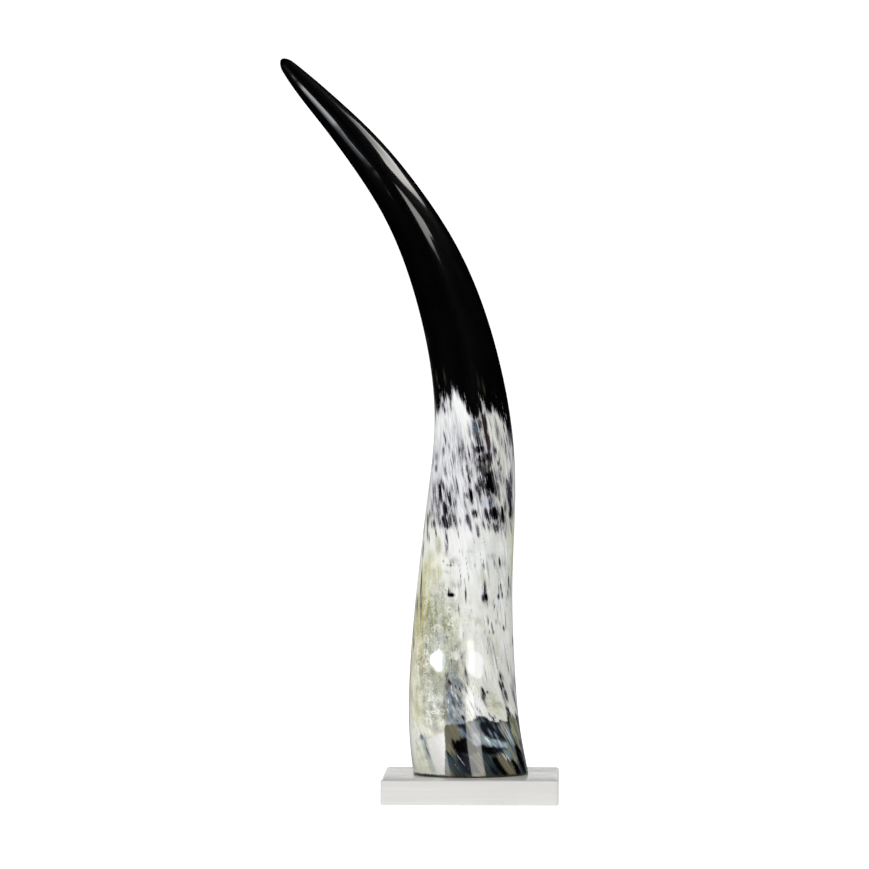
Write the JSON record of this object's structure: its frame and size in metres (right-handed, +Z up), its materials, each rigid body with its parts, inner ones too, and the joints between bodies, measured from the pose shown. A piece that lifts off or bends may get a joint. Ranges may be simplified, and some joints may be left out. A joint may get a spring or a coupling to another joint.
{
  "type": "mounted cow horn",
  "caption": "Polished cow horn with a black tip and a streaked pale body, standing upright on its cut end on a square stone plinth, as a shelf ornament.",
  "frame": {"origin": "centre of the plinth's underside, on the surface that it stands on", "axes": "+Z up, +X to the right as the picture sees it, +Y away from its camera; the horn's tip leans to -X and a little to +Y"},
  "size_m": [0.2055, 0.127, 0.5416],
  "materials": {
    "horn": "polished keratin: black from the tip to about two fifths of the way down, then ivory with dark streaks, olive on the lower left and blue-black patches at the foot",
    "plinth": "honed pale grey-white stone with faint level veins"
  },
  "bodies": {
    "root": {"horn": "horn", "plinth": "plinth"}
  },
  "joints": []
}
